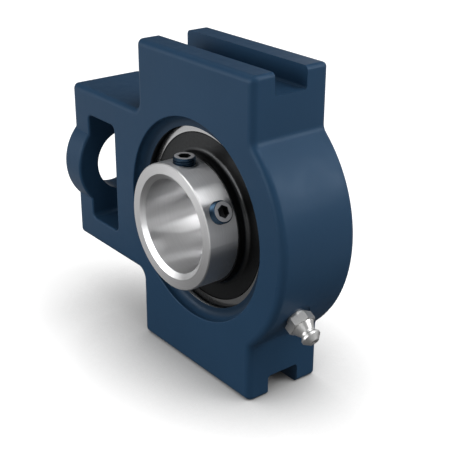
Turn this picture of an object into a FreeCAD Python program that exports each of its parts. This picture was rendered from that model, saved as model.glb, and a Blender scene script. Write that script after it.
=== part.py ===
import FreeCAD, Part
import math
import os

from FreeCAD import Placement, Rotation, Vector

# Take-up bearing unit for a 30 mm shaft: a cast housing that slides between two guide
# rails, with a ball bearing insert that swivels in a spherical seat.
# Millimetres. The origin is the bearing centre, in the middle of the housing's thickness.
# +X points to the round end with the grease nipple, -X to the adjusting screw's lug,
# -Y to the side with the locking screws, +Z up.

# Housing casting
BODY_THICKNESS = 28.0
HEIGHT_OVER_RAILS = 103.5
RAIL_LENGTH = 57.2
GUIDE_SLOT_WIDTH = 12.0
GUIDE_SLOT_DEPTH = 6.75
ROUND_END_RADIUS = 43.0
LUG_REACH = 70.2
LUG_HEIGHT = 56.8
END_WALL = 10.2
WINDOW_LENGTH = 16.3
WINDOW_HEIGHT = 38.3
WINDOW_CORNER_RADIUS = 2.0
BOSS_DIAMETER = 37.0
ADJUSTER_HOLE_DIAMETER = 22.0

# Cast radii and small edge radii
CORNER_RADIUS = 1.5
FRONT_OUTLINE_RADIUS = 2.2
BACK_OUTLINE_RADIUS = 1.5
ROUND_END_BLEND = 3.0
LUG_BLEND = 3.2
SLOT_ROOT_RADIUS = 1.0
WINDOW_EDGE_RADIUS = 0.8
BOSS_EDGE_RADIUS = 1.0
BORE_EDGE_RADIUS = 0.4

# Spherical seat, the recess round it and the slots that the insert is loaded through
RECESS_DEPTH = 3.4
RECESS_STEP = 3.5
RECESS_ROOT_RADIUS = 2.6
SEAT_CLEARANCE = 0.06
LOADING_CLEARANCE = 0.3
GREASE_GROOVE_WIDTH = 3.2
GREASE_GROOVE_DEPTH = 1.0

# Insert rings
SHAFT_DIAMETER = 30.0
INNER_RING_WALL = 5.1
INNER_RACE_DEPTH = 1.9125
PLAIN_SIDE_LENGTH = 15.9
BORE_CHAMFER_WIDTH = 1.7
BORE_CHAMFER_LENGTH = 1.2
RING_EDGE_CHAMFER = 0.3
OUTER_RING_WALL = 3.1875
OUTER_CORNER_RADIUS = 1.0
OUTER_SHOULDER_DEPTH = 1.2
LUBE_HOLE_DIAMETER = 1.6
LUBE_HOLE_OFFSET = 4.3

# Balls and cage
BALL_DIAMETER = 9.525
BALL_COUNT = 9
RACE_CONFORMITY = 0.52
BALL_CLEARANCE = 0.05
CAGE_RADIAL_WIDTH = 3.6
CAGE_BASE_WALL = 0.7
CAGE_FINGER_REACH = 2.6
CAGE_POCKET_CLEARANCE = 0.15
CAGE_SLOT_WIDTH = 1.8
CAGE_SLOT_FLOOR = 1.6

# Seals
SEAL_CAGE_GAP = 0.3375
SEAL_SHEET = 0.4
SEAL_GROOVE_DEPTH = 1.15
SEAL_RETAINING_LIP = 0.65
SEAL_LIP_LENGTH = 2.35
SEAL_LIP_THICKNESS = 0.45
SEAL_BOND_WIDTH = 0.7
SEAL_LIP_CLEARANCE = 0.05

# Flingers, which run just inside the mouths of the outer ring
FLINGER_SHEET = 0.55
FLINGER_SEAL_GAP = 1.05
FLINGER_RIM_GAP = 0.35
FLINGER_SINK = 0.1
FLINGER_COLLAR_REACH = 3.3
FLINGER_BEND_RADIUS = 1.5

# Locking screws in the inner ring
LOCK_SCREW_DIAMETER = 7.0
LOCK_SCREW_COLLAR_GAP = 1.6
LOCK_SCREW_FACE_WALL = 1.9
LOCK_SCREW_ANGLES = (88.5, 28.0)
LOCK_SCREW_PROUD = 2.1
LOCK_SCREW_TIP_GAP = 0.4
LOCK_SCREW_CLEARANCE = 0.05
LOCK_SCREW_CHAMFER = 0.3
LOCK_SCREW_CUP_DEPTH = 0.8
SOCKET_ACROSS_FLATS = 3.35
SOCKET_DEPTH = 3.0
SOCKET_TURNS = (22.0, 29.0)

# Grease nipple with its check valve
NIPPLE_ANGLE = -29.6
NIPPLE_OFFSET = 3.2
NIPPLE_THREAD_DIAMETER = 6.35
NIPPLE_THREAD_LENGTH = 6.0
NIPPLE_SPOT_DEPTH = 0.25
NIPPLE_SPOT_DIAMETER = 10.0
NIPPLE_STAND_OFF = 1.05
NIPPLE_HEX_FLATS = 7.94
NIPPLE_HEX_TURN = 30.0
NIPPLE_HEX_HEIGHT = 2.85
NIPPLE_HEX_CHAMFER = 0.35
NIPPLE_CONE_HEIGHT = 2.25
NIPPLE_CONE_BASE_DIAMETER = 7.5
NIPPLE_NECK_DIAMETER = 4.9
NIPPLE_NECK_HEIGHT = 0.7
NIPPLE_HEAD_DIAMETER = 6.3
NIPPLE_HEAD_FLANK = 0.7
NIPPLE_HEAD_BAND = 0.65
NIPPLE_HEAD_CONE = 1.55
NIPPLE_TIP_DIAMETER = 3.2
NIPPLE_ORIFICE_DIAMETER = 1.4
NIPPLE_ORIFICE_LENGTH = 0.4
VALVE_CHAMBER_DIAMETER = 2.5
VALVE_CHAMBER_LENGTH = 4.6
VALVE_BALL_DIAMETER = 2.0
VALVE_BALL_CLEARANCE = 0.02
VALVE_SPRING_DIAMETER = 1.95
VALVE_SPRING_WIRE = 0.3
VALVE_SPRING_TURNS = 4
VALVE_SPRING_WIRE_SIDES = 8
GREASE_PASSAGE_DIAMETER = 1.5

# Values that follow from the sizes above
HALF_BODY = BODY_THICKNESS / 2
HALF_RAILS = HEIGHT_OVER_RAILS / 2
HALF_RAIL_LENGTH = RAIL_LENGTH / 2
SLOT_FLOOR = HALF_RAILS - GUIDE_SLOT_DEPTH
SHAFT_RADIUS = SHAFT_DIAMETER / 2
INNER_RING_RADIUS = SHAFT_RADIUS + INNER_RING_WALL
BALL_RADIUS = BALL_DIAMETER / 2
RACE_RADIUS = RACE_CONFORMITY * BALL_DIAMETER
INNER_RACE_BOTTOM = INNER_RING_RADIUS - INNER_RACE_DEPTH
PITCH_RADIUS = INNER_RACE_BOTTOM + BALL_CLEARANCE + BALL_RADIUS
OUTER_RACE_BOTTOM = PITCH_RADIUS + BALL_RADIUS + BALL_CLEARANCE
OUTER_SHOULDER_RADIUS = OUTER_RACE_BOTTOM - OUTER_SHOULDER_DEPTH
SPHERE_RADIUS = OUTER_RACE_BOTTOM + OUTER_RING_WALL
SEAT_RADIUS = SPHERE_RADIUS + SEAT_CLEARANCE
SEAT_HALF_WIDTH = HALF_BODY - RECESS_DEPTH
SEAT_EDGE_RADIUS = math.sqrt(SEAT_RADIUS**2 - SEAT_HALF_WIDTH**2)
RECESS_RADIUS = SEAT_EDGE_RADIUS + RECESS_STEP
CAGE_POCKET_RADIUS = BALL_RADIUS + CAGE_POCKET_CLEARANCE
CAGE_BASE = CAGE_POCKET_RADIUS + CAGE_BASE_WALL
SEAL_GROOVE_RADIUS = OUTER_SHOULDER_RADIUS + SEAL_GROOVE_DEPTH
SEAL_INNER_FACE = CAGE_BASE + SEAL_CAGE_GAP + SEAL_LIP_THICKNESS
SEAL_OUTER_FACE = SEAL_INNER_FACE + SEAL_SHEET
SEAL_WASHER_BORE = INNER_RING_RADIUS + SEAL_LIP_LENGTH
OUTER_RING_MOUTH = SEAL_GROOVE_RADIUS - SEAL_RETAINING_LIP
FLINGER_RIM = OUTER_RING_MOUTH - FLINGER_RIM_GAP
FLINGER_BACK = SEAL_OUTER_FACE + FLINGER_SEAL_GAP
FLINGER_FACE = FLINGER_BACK + FLINGER_SHEET
OUTER_FACE = FLINGER_FACE + FLINGER_SINK
FLINGER_END = FLINGER_FACE + FLINGER_COLLAR_REACH
LOCK_SCREW_RADIUS = LOCK_SCREW_DIAMETER / 2
LOCK_SCREW_PLANE = -(FLINGER_END + LOCK_SCREW_COLLAR_GAP + LOCK_SCREW_RADIUS)
SCREW_SIDE_LENGTH = LOCK_SCREW_RADIUS + LOCK_SCREW_FACE_WALL - LOCK_SCREW_PLANE
LOCK_SCREW_TIP = SHAFT_RADIUS + LOCK_SCREW_TIP_GAP
LOCK_SCREW_END = INNER_RING_RADIUS + LOCK_SCREW_PROUD
NIPPLE_SEAT_RADIUS = ROUND_END_RADIUS - NIPPLE_SPOT_DEPTH
NIPPLE_HEX_START = NIPPLE_SEAT_RADIUS + NIPPLE_STAND_OFF
MARGIN = 5.0

ORIGIN = Vector(0, 0, 0)
SHAFT_AXIS = Vector(0, 1, 0)
LIFT_AXIS = Vector(0, 0, 1)


# Small helpers for sections, edges and places

def section(start, *moves):
    """Close a section from straight moves (x, y) and arc moves ((mid x, mid y), (x, y))."""
    edges = []
    here = Vector(start[0], start[1], 0)
    for move in list(moves) + [start]:
        is_arc = isinstance(move[0], tuple)
        target = Vector(*(move[1] if is_arc else move), 0)
        if here.distanceToPoint(target) < 1e-7:
            continue
        if is_arc:
            middle = Vector(*move[0], 0)
            edges.append(Part.Arc(here, middle, target).toShape())
        else:
            edges.append(Part.LineSegment(here, target).toShape())
        here = target
    return Part.Face(Part.Wire(edges))


def turned(face):
    """Turn a section of (radius, height along Y) round the shaft axis."""
    return face.revolve(ORIGIN, SHAFT_AXIS, 360)


def turned_upright(face):
    """Turn a section of (radius, height) round Y, then stand it along Z."""
    solid = turned(face)
    solid.Placement = Placement(ORIGIN, Rotation(SHAFT_AXIS, LIFT_AXIS))
    return solid


def arc_middle(centre, radius, degrees):
    """Give the point of a circle at an angle, as the middle of an arc move."""
    angle = math.radians(degrees)
    return (centre[0] + radius * math.cos(angle), centre[1] + radius * math.sin(angle))


def box_between(low, high):
    """Make a box from its lowest and highest corners."""
    size = [high[k] - low[k] for k in range(3)]
    return Part.makeBox(*size, Vector(*low))


def radial_direction(degrees):
    """Give the unit vector in the XZ plane at an angle above +X."""
    angle = math.radians(degrees)
    return Vector(math.cos(angle), 0, math.sin(angle))


def aimed(solid, degrees, height):
    """Turn an upright solid to point outwards at an angle, and move it along the shaft."""
    turn = Placement(ORIGIN, Rotation(LIFT_AXIS, radial_direction(degrees)))
    shift = Placement(Vector(0, height, 0), Rotation())
    solid.Placement = shift.multiply(turn).multiply(solid.Placement)
    return solid


def mirrored_to_front(solid):
    """Copy a solid of the plain side to the screw side."""
    return solid.mirror(ORIGIN, SHAFT_AXIS)


def edges_where(shape, test):
    """List the edges whose bounding box passes a test."""
    return [edge for edge in shape.Edges if test(edge.BoundBox)]


def runs_along_y(box):
    """Say whether an edge's box is a straight line along Y."""
    return box.XLength < 1e-5 and box.ZLength < 1e-5 and box.YLength > 1.0


def hexagon(across_flats, turn, height):
    """Draw an upright hexagon at a height, with its first corner turned from the Y axis."""
    radius = across_flats / math.sqrt(3)
    corners = []
    for k in range(7):
        angle = math.radians(turn + 60 * (k % 6))
        corners.append(Vector(-radius * math.sin(angle), radius * math.cos(angle), height))
    return Part.Face(Part.makePolygon(corners))


# Housing

def housing_blank():
    """Rail block, round end and lug as one casting blank with rounded outer edges."""
    block = box_between(
        (-HALF_RAIL_LENGTH, -HALF_BODY, -HALF_RAILS),
        (HALF_RAIL_LENGTH, HALF_BODY, HALF_RAILS),
    )
    disc = Part.makeCylinder(
        ROUND_END_RADIUS, BODY_THICKNESS, Vector(0, -HALF_BODY, 0), SHAFT_AXIS
    )
    greased_half = box_between(
        (0, -HALF_BODY, -ROUND_END_RADIUS),
        (ROUND_END_RADIUS, HALF_BODY, ROUND_END_RADIUS),
    )
    lug = box_between(
        (-LUG_REACH, -HALF_BODY, -LUG_HEIGHT / 2),
        (0, HALF_BODY, LUG_HEIGHT / 2),
    )
    blank = block.fuse([disc.common(greased_half), lug]).removeSplitter()

    def at(box, x, z):
        return abs(box.XMin - x) < 1e-4 and abs(abs(box.ZMin) - z) < 1e-4

    junction = math.sqrt(ROUND_END_RADIUS**2 - HALF_RAIL_LENGTH**2)
    inner_lug = edges_where(
        blank, lambda b: runs_along_y(b) and at(b, -HALF_RAIL_LENGTH, LUG_HEIGHT / 2)
    )
    blank = blank.makeFillet(LUG_BLEND, inner_lug)
    inner_round = edges_where(
        blank, lambda b: runs_along_y(b) and at(b, HALF_RAIL_LENGTH, junction)
    )
    blank = blank.makeFillet(ROUND_END_BLEND, inner_round)
    corners = edges_where(
        blank,
        lambda b: runs_along_y(b)
        and (
            at(b, -HALF_RAIL_LENGTH, HALF_RAILS)
            or at(b, HALF_RAIL_LENGTH, HALF_RAILS)
            or at(b, -LUG_REACH, LUG_HEIGHT / 2)
        ),
    )
    blank = blank.makeFillet(CORNER_RADIUS, corners)
    for face, radius in ((-HALF_BODY, FRONT_OUTLINE_RADIUS), (HALF_BODY, BACK_OUTLINE_RADIUS)):
        outline = edges_where(
            blank, lambda b: b.YLength < 1e-5 and abs(b.YMin - face) < 1e-4
        )
        blank = blank.makeFillet(radius, outline)
    return blank


def with_guide_slots(body):
    """Cut the guide slot along the top and the bottom, with round roots."""
    half_slot = GUIDE_SLOT_WIDTH / 2
    reach = HALF_RAIL_LENGTH + MARGIN
    for side in (1, -1):
        tool = box_between(
            (-reach, -half_slot, SLOT_FLOOR),
            (reach, half_slot, HALF_RAILS + MARGIN),
        )
        roots = edges_where(
            tool, lambda b: b.XLength > RAIL_LENGTH and abs(b.ZMax - SLOT_FLOOR) < 1e-4
        )
        tool = tool.makeFillet(SLOT_ROOT_RADIUS, roots)
        if side < 0:
            tool.rotate(ORIGIN, Vector(1, 0, 0), 180)
        body = body.cut(tool)
    return body


def with_nut_window(body):
    """Cut the window that the adjusting screw's nut sits in."""
    outer = -(LUG_REACH - END_WALL)
    reach = HALF_BODY + MARGIN
    tool = box_between(
        (outer, -reach, -WINDOW_HEIGHT / 2),
        (outer + WINDOW_LENGTH, reach, WINDOW_HEIGHT / 2),
    )
    tool = tool.makeFillet(WINDOW_CORNER_RADIUS, edges_where(tool, runs_along_y))
    body = body.cut(tool)
    rims = edges_where(
        body,
        lambda b: b.YLength < 1e-5
        and abs(abs(b.YMin) - HALF_BODY) < 1e-4
        and b.XMin > outer - 1e-3
        and b.XMax < outer + WINDOW_LENGTH + 1e-3
        and max(abs(b.ZMin), abs(b.ZMax)) < WINDOW_HEIGHT / 2 + 1e-3,
    )
    return body.makeFillet(WINDOW_EDGE_RADIUS, rims)


def with_screw_boss(body):
    """Add the round boss on the lug's end wall, and bore it for the adjusting screw."""
    along = Vector(1, 0, 0)
    start = Vector(-LUG_REACH, 0, 0)
    boss = Part.makeCylinder(BOSS_DIAMETER / 2, END_WALL, start, along)
    boss = boss.makeFillet(
        BOSS_EDGE_RADIUS, edges_where(boss, lambda b: b.XLength < 1e-5)
    )
    body = body.fuse(boss)
    hole_start = start - along * MARGIN
    hole = Part.makeCylinder(
        ADJUSTER_HOLE_DIAMETER / 2, END_WALL + MARGIN + WINDOW_LENGTH / 2, hole_start, along
    )
    return body.cut(hole)


def with_bearing_seat(body):
    """Cut the spherical seat, the recess on each face and the loading slots at the back."""
    fillet_centre = RECESS_RADIUS - RECESS_ROOT_RADIUS
    wall_end = SEAT_HALF_WIDTH + RECESS_ROOT_RADIUS
    top = HALF_BODY + MARGIN
    root = (fillet_centre, wall_end)
    root_below = (fillet_centre, -wall_end)
    seat = turned(section(
        (0, -top),
        (RECESS_RADIUS, -top),
        (RECESS_RADIUS, -wall_end),
        (arc_middle(root_below, RECESS_ROOT_RADIUS, 45), (fillet_centre, -SEAT_HALF_WIDTH)),
        (SEAT_EDGE_RADIUS, -SEAT_HALF_WIDTH),
        ((SEAT_RADIUS, 0), (SEAT_EDGE_RADIUS, SEAT_HALF_WIDTH)),
        (fillet_centre, SEAT_HALF_WIDTH),
        (arc_middle(root, RECESS_ROOT_RADIUS, -45), (RECESS_RADIUS, wall_end)),
        (RECESS_RADIUS, top),
        (0, top),
    ))
    body = body.cut(seat)
    rims = edges_where(
        body,
        lambda b: b.YLength < 1e-5
        and abs(abs(b.YMin) - HALF_BODY) < 1e-4
        and abs(b.XMax - RECESS_RADIUS) < 1e-3,
    )
    body = body.makeFillet(BORE_EDGE_RADIUS, rims)
    half_slot = OUTER_FACE + LOADING_CLEARANCE
    loading = box_between(
        (-half_slot, 0, -SEAT_RADIUS), (half_slot, top, SEAT_RADIUS)
    )
    groove = turned(section(
        (SEAT_EDGE_RADIUS, -NIPPLE_OFFSET - GREASE_GROOVE_WIDTH / 2),
        (SEAT_RADIUS + GREASE_GROOVE_DEPTH, -NIPPLE_OFFSET - GREASE_GROOVE_WIDTH / 2),
        (SEAT_RADIUS + GREASE_GROOVE_DEPTH, -NIPPLE_OFFSET + GREASE_GROOVE_WIDTH / 2),
        (SEAT_EDGE_RADIUS, -NIPPLE_OFFSET + GREASE_GROOVE_WIDTH / 2),
    ))
    return body.cut([loading, groove])


def with_nipple_port(body):
    """Spot-face and drill the port for the grease nipple, into the groove of the seat."""
    thread = NIPPLE_THREAD_DIAMETER / 2
    passage = GREASE_PASSAGE_DIAMETER / 2
    floor = NIPPLE_SEAT_RADIUS - NIPPLE_THREAD_LENGTH
    port = turned_upright(section(
        (0, SEAT_RADIUS),
        (passage, SEAT_RADIUS),
        (passage, floor),
        (thread, floor),
        (thread, NIPPLE_SEAT_RADIUS),
        (NIPPLE_SPOT_DIAMETER / 2, NIPPLE_SEAT_RADIUS),
        (NIPPLE_SPOT_DIAMETER / 2, ROUND_END_RADIUS + MARGIN),
        (0, ROUND_END_RADIUS + MARGIN),
    ))
    return body.cut(aimed(port, NIPPLE_ANGLE, -NIPPLE_OFFSET))


def housing():
    """The whole casting, machined."""
    body = housing_blank()
    body = with_guide_slots(body)
    body = with_nut_window(body)
    body = with_screw_boss(body)
    body = with_bearing_seat(body)
    return with_nipple_port(body)


# Bearing insert

def outer_ring():
    """Outer ring with a spherical outside, one ball race and a seal groove at each end."""
    face_radius = math.sqrt(SPHERE_RADIUS**2 - OUTER_FACE**2)
    race_centre = OUTER_RACE_BOTTOM - RACE_RADIUS
    race_edge = math.sqrt(RACE_RADIUS**2 - (OUTER_SHOULDER_RADIUS - race_centre) ** 2)
    ring = turned(section(
        (OUTER_SHOULDER_RADIUS, race_edge),
        (OUTER_SHOULDER_RADIUS, SEAL_INNER_FACE),
        (SEAL_GROOVE_RADIUS, SEAL_INNER_FACE),
        (SEAL_GROOVE_RADIUS, SEAL_OUTER_FACE),
        (OUTER_RING_MOUTH, SEAL_OUTER_FACE),
        (OUTER_RING_MOUTH, OUTER_FACE),
        (face_radius, OUTER_FACE),
        ((SPHERE_RADIUS, 0), (face_radius, -OUTER_FACE)),
        (OUTER_RING_MOUTH, -OUTER_FACE),
        (OUTER_RING_MOUTH, -SEAL_OUTER_FACE),
        (SEAL_GROOVE_RADIUS, -SEAL_OUTER_FACE),
        (SEAL_GROOVE_RADIUS, -SEAL_INNER_FACE),
        (OUTER_SHOULDER_RADIUS, -SEAL_INNER_FACE),
        (OUTER_SHOULDER_RADIUS, -race_edge),
        ((OUTER_RACE_BOTTOM, 0), (OUTER_SHOULDER_RADIUS, race_edge)),
    ))
    corners = edges_where(
        ring, lambda b: b.YLength < 1e-5 and abs(b.XMax - face_radius) < 1e-3
    )
    ring = ring.makeFillet(OUTER_CORNER_RADIUS, corners)
    drill = Part.makeCylinder(
        LUBE_HOLE_DIAMETER / 2, MARGIN, Vector(0, 0, SPHERE_RADIUS - MARGIN), LIFT_AXIS
    )
    return ring.cut(aimed(drill, NIPPLE_ANGLE, -LUBE_HOLE_OFFSET))


def inner_ring():
    """Wide inner ring with a ball race and two tapped holes for the locking screws."""
    race_centre = INNER_RACE_BOTTOM + RACE_RADIUS
    race_edge = math.sqrt(RACE_RADIUS**2 - (race_centre - INNER_RING_RADIUS) ** 2)
    chamfer_radius = SHAFT_RADIUS + BORE_CHAMFER_WIDTH
    edge_radius = INNER_RING_RADIUS - RING_EDGE_CHAMFER
    low = -SCREW_SIDE_LENGTH
    high = PLAIN_SIDE_LENGTH
    ring = turned(section(
        (SHAFT_RADIUS, low + BORE_CHAMFER_LENGTH),
        (chamfer_radius, low),
        (edge_radius, low),
        (INNER_RING_RADIUS, low + RING_EDGE_CHAMFER),
        (INNER_RING_RADIUS, -race_edge),
        ((INNER_RACE_BOTTOM, 0), (INNER_RING_RADIUS, race_edge)),
        (INNER_RING_RADIUS, high - RING_EDGE_CHAMFER),
        (edge_radius, high),
        (chamfer_radius, high),
        (SHAFT_RADIUS, high - BORE_CHAMFER_LENGTH),
    ))
    for degrees in LOCK_SCREW_ANGLES:
        tap = Part.makeCylinder(
            LOCK_SCREW_RADIUS + LOCK_SCREW_CLEARANCE,
            INNER_RING_RADIUS,
            Vector(0, 0, SHAFT_RADIUS / 2),
            LIFT_AXIS,
        )
        ring = ring.cut(aimed(tap, degrees, LOCK_SCREW_PLANE))
    return ring


def ball_centres():
    """Places of the balls on their pitch circle."""
    step = 360 / BALL_COUNT
    return [radial_direction(90 + k * step) * PITCH_RADIUS for k in range(BALL_COUNT)]


def ball(centre):
    """One bearing ball."""
    return Part.makeSphere(BALL_RADIUS, centre)


def cage():
    """One-piece snap cage: a ring with open pockets and a pair of fingers between balls."""
    inside = PITCH_RADIUS - CAGE_RADIAL_WIDTH / 2
    outside = PITCH_RADIUS + CAGE_RADIAL_WIDTH / 2
    crown = turned(section(
        (inside, -CAGE_FINGER_REACH),
        (outside, -CAGE_FINGER_REACH),
        (outside, CAGE_BASE),
        (inside, CAGE_BASE),
    ))
    cuts = [Part.makeSphere(CAGE_POCKET_RADIUS, centre) for centre in ball_centres()]
    for k in range(BALL_COUNT):
        slot = box_between(
            (-CAGE_SLOT_WIDTH / 2, -CAGE_FINGER_REACH - MARGIN, inside - MARGIN / 2),
            (CAGE_SLOT_WIDTH / 2, CAGE_SLOT_FLOOR, outside + MARGIN / 2),
        )
        slot.rotate(ORIGIN, SHAFT_AXIS, (k + 0.5) * 360 / BALL_COUNT)
        cuts.append(slot)
    return crown.cut(cuts)


def seal_washer():
    """Sheet steel washer held in the outer ring's groove, on the plain side."""
    return turned(section(
        (SEAL_WASHER_BORE, SEAL_INNER_FACE),
        (SEAL_GROOVE_RADIUS, SEAL_INNER_FACE),
        (SEAL_GROOVE_RADIUS, SEAL_OUTER_FACE),
        (SEAL_WASHER_BORE, SEAL_OUTER_FACE),
    ))


def seal_lip():
    """Rubber lip bonded under the washer's bore, leaning out to the inner ring."""
    tip = INNER_RING_RADIUS + SEAL_LIP_CLEARANCE
    root = SEAL_WASHER_BORE + SEAL_BOND_WIDTH
    under = SEAL_INNER_FACE - SEAL_LIP_THICKNESS
    neck = SEAL_WASHER_BORE - SEAL_BOND_WIDTH
    return turned(section(
        (root, under),
        (root, SEAL_INNER_FACE),
        (SEAL_WASHER_BORE, SEAL_INNER_FACE),
        (SEAL_WASHER_BORE, SEAL_OUTER_FACE),
        (tip + SEAL_LIP_THICKNESS, SEAL_OUTER_FACE + SEAL_LIP_THICKNESS),
        (tip, SEAL_OUTER_FACE + SEAL_LIP_THICKNESS),
        (tip, SEAL_OUTER_FACE),
        (neck, under),
    ))


def flinger():
    """Pressed sheet ring on the inner ring, with its collar turned outwards, plain side."""
    collar = INNER_RING_RADIUS + FLINGER_SHEET
    bend = FLINGER_FACE + FLINGER_BEND_RADIUS
    centre = (collar + FLINGER_BEND_RADIUS, bend)
    outer_bend = FLINGER_BEND_RADIUS + FLINGER_SHEET
    return turned(section(
        (INNER_RING_RADIUS, FLINGER_END),
        (INNER_RING_RADIUS, bend),
        (arc_middle(centre, outer_bend, 225), (centre[0], FLINGER_BACK)),
        (FLINGER_RIM, FLINGER_BACK),
        (FLINGER_RIM, FLINGER_FACE),
        (centre[0], FLINGER_FACE),
        (arc_middle(centre, FLINGER_BEND_RADIUS, 225), (collar, bend)),
        (collar, FLINGER_END),
    ))


def lock_screw(degrees, socket_turn):
    """Socket set screw with a cup point, standing out of the inner ring."""
    radius = LOCK_SCREW_RADIUS
    shoulder = radius - LOCK_SCREW_CHAMFER
    blank = turned_upright(section(
        (0, LOCK_SCREW_TIP + LOCK_SCREW_CUP_DEPTH),
        (LOCK_SCREW_CUP_DEPTH, LOCK_SCREW_TIP),
        (radius - LOCK_SCREW_CUP_DEPTH, LOCK_SCREW_TIP),
        (radius, LOCK_SCREW_TIP + LOCK_SCREW_CUP_DEPTH),
        (radius, LOCK_SCREW_END - LOCK_SCREW_CHAMFER),
        (shoulder, LOCK_SCREW_END),
        (0, LOCK_SCREW_END),
    ))
    floor = LOCK_SCREW_END - SOCKET_DEPTH
    socket = hexagon(SOCKET_ACROSS_FLATS, socket_turn, floor).extrude(
        LIFT_AXIS * (SOCKET_DEPTH + MARGIN)
    )
    return aimed(blank.cut(socket), degrees, LOCK_SCREW_PLANE)


# Grease nipple

def nipple_heights():
    """Heights of the nipple's features above the shaft axis, from the hexagon up."""
    hex_top = NIPPLE_HEX_START + NIPPLE_HEX_HEIGHT
    cone_top = hex_top + NIPPLE_CONE_HEIGHT
    neck_top = cone_top + NIPPLE_NECK_HEIGHT
    flank_top = neck_top + NIPPLE_HEAD_FLANK
    band_top = flank_top + NIPPLE_HEAD_BAND
    tip = band_top + NIPPLE_HEAD_CONE
    return hex_top, cone_top, neck_top, flank_top, band_top, tip


def valve_heights():
    """Heights of the valve's seat edge, ball centre and chamber floor."""
    seat_edge = nipple_heights()[-1] - NIPPLE_ORIFICE_LENGTH
    touching = math.sqrt(2) * (VALVE_BALL_DIAMETER / 2 + VALVE_BALL_CLEARANCE)
    ball_centre = seat_edge - (touching - NIPPLE_ORIFICE_DIAMETER / 2)
    return seat_edge, ball_centre, seat_edge - VALVE_CHAMBER_LENGTH


def nipple_body():
    """Hexagon, neck, button head and threaded shank, bored for the valve."""
    hex_top, cone_top, neck_top, flank_top, band_top, tip = nipple_heights()
    seat_edge, _, chamber_floor = valve_heights()
    shank_end = NIPPLE_SEAT_RADIUS - NIPPLE_THREAD_LENGTH
    orifice = NIPPLE_ORIFICE_DIAMETER / 2
    chamber = VALVE_CHAMBER_DIAMETER / 2
    passage = GREASE_PASSAGE_DIAMETER / 2
    head = NIPPLE_HEAD_DIAMETER / 2
    core = turned_upright(section(
        (passage, shank_end),
        (NIPPLE_THREAD_DIAMETER / 2, shank_end),
        (NIPPLE_THREAD_DIAMETER / 2, NIPPLE_HEX_START),
        (NIPPLE_CONE_BASE_DIAMETER / 2, NIPPLE_HEX_START),
        (NIPPLE_CONE_BASE_DIAMETER / 2, hex_top),
        (NIPPLE_NECK_DIAMETER / 2, cone_top),
        (NIPPLE_NECK_DIAMETER / 2, neck_top),
        (head, flank_top),
        (head, band_top),
        (NIPPLE_TIP_DIAMETER / 2, tip),
        (orifice, tip),
        (orifice, seat_edge),
        (chamber, seat_edge - (chamber - orifice)),
        (chamber, chamber_floor),
        (passage, chamber_floor),
    ))
    prism = hexagon(NIPPLE_HEX_FLATS, NIPPLE_HEX_TURN, NIPPLE_HEX_START).extrude(
        LIFT_AXIS * NIPPLE_HEX_HEIGHT
    )
    corner = NIPPLE_HEX_FLATS / math.sqrt(3)
    crown = turned_upright(section(
        (0, NIPPLE_HEX_START),
        (corner, NIPPLE_HEX_START),
        (corner, hex_top - NIPPLE_HEX_CHAMFER),
        (NIPPLE_HEX_FLATS / 2, hex_top),
        (0, hex_top),
    ))
    bore = Part.makeCylinder(
        NIPPLE_THREAD_DIAMETER / 2, NIPPLE_HEX_HEIGHT, LIFT_AXIS * NIPPLE_HEX_START, LIFT_AXIS
    )
    hexagon_ring = prism.common(crown).cut(bore)
    return aimed(core.fuse(hexagon_ring).removeSplitter(), NIPPLE_ANGLE, -NIPPLE_OFFSET)


def nipple_ball():
    """Check ball behind the nipple's orifice."""
    centre = LIFT_AXIS * valve_heights()[1]
    return aimed(Part.makeSphere(VALVE_BALL_DIAMETER / 2, centre), NIPPLE_ANGLE, -NIPPLE_OFFSET)


def nipple_spring():
    """Coil spring of faceted wire between the chamber's floor and the check ball."""
    _, ball_centre, chamber_floor = valve_heights()
    wire = VALVE_SPRING_WIRE / 2
    coil = VALVE_SPRING_DIAMETER / 2 - wire
    contact = math.sqrt((VALVE_BALL_DIAMETER / 2 + VALVE_SPRING_WIRE / 2) ** 2 - coil**2)
    bottom = chamber_floor + wire
    top = ball_centre - contact - VALVE_BALL_CLEARANCE
    rise = top - bottom
    helix = Part.makeHelix(rise / VALVE_SPRING_TURNS, rise, coil)
    corners = []
    for k in range(VALVE_SPRING_WIRE_SIDES + 1):
        x, z = arc_middle((coil, 0), wire, 360 * k / VALVE_SPRING_WIRE_SIDES)
        corners.append(Vector(x, 0, z))
    profile = Part.makePolygon(corners)
    spring = Part.Wire(helix).makePipeShell([profile], True, True)
    spring.translate(LIFT_AXIS * bottom)
    return aimed(spring, NIPPLE_ANGLE, -NIPPLE_OFFSET)


# All pieces by name

def all_pieces():
    """Build each piece once and pair it with its name."""
    washer = seal_washer()
    lip = seal_lip()
    shroud = flinger()
    pieces = {
        "housing": housing(),
        "outer_ring": outer_ring(),
        "inner_ring": inner_ring(),
        "cage": cage(),
        "seal_washer_back": washer,
        "seal_washer_front": mirrored_to_front(washer),
        "seal_lip_back": lip,
        "seal_lip_front": mirrored_to_front(lip),
        "flinger_back": shroud,
        "flinger_front": mirrored_to_front(shroud),
        "nipple_body": nipple_body(),
        "nipple_ball": nipple_ball(),
        "nipple_spring": nipple_spring(),
    }
    for k, centre in enumerate(ball_centres(), start=1):
        pieces[f"ball_{k}"] = ball(centre)
    for k, (degrees, turn) in enumerate(zip(LOCK_SCREW_ANGLES, SOCKET_TURNS), start=1):
        pieces[f"lock_screw_{k}"] = lock_screw(degrees, turn)
    return pieces


def main():
    """Write one STEP file per piece and print each piece's volume."""
    os.makedirs("parts", exist_ok=True)
    for name, shape in all_pieces().items():
        print(name, len(shape.Solids), shape.isValid(), round(shape.Volume, 3))
        shape.exportStep(f"parts/{name}.step")


main()
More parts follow.
